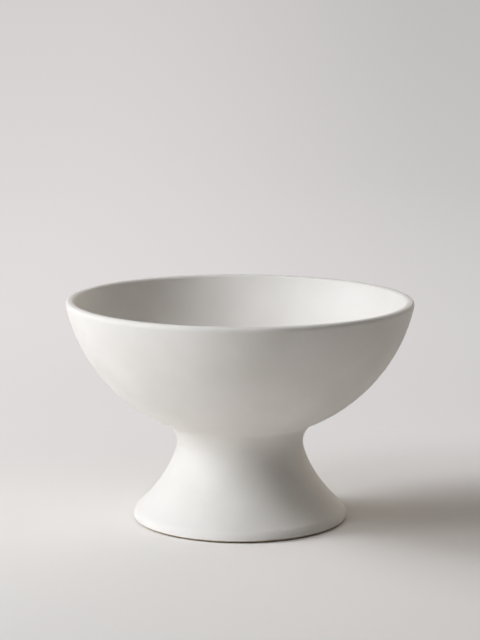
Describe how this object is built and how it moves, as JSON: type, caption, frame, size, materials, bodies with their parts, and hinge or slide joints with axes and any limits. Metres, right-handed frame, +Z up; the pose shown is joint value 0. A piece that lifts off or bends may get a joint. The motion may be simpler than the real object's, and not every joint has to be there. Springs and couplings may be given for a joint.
{
  "type": "footed compote bowl",
  "caption": "Deep round bowl with a soft rounded lip on a waisted, flared hollow pedestal, luted together in clay and glazed matt white.",
  "frame": {"origin": "on the surface that the pads stand on, under the middle of the foot", "axes": "+Z up along the axis of the bowl and pedestal, +X and +Y level"},
  "size_m": [0.25, 0.25, 0.1605],
  "materials": {
    "bowl_glaze": "matt white glaze",
    "pedestal_glaze": "matt white glaze, bare on the land under the foot",
    "fired_slip": "fired slip",
    "coil_glaze": "matt white glaze",
    "felt": "pressed wool felt"
  },
  "bodies": {
    "root": {"bowl": "bowl_glaze", "pedestal_foot": "pedestal_glaze", "luting_slip": "fired_slip", "neck_coil": "coil_glaze", "foot_pad_1": "felt", "foot_pad_2": "felt", "foot_pad_3": "felt", "foot_pad_4": "felt"}
  },
  "joints": []
}
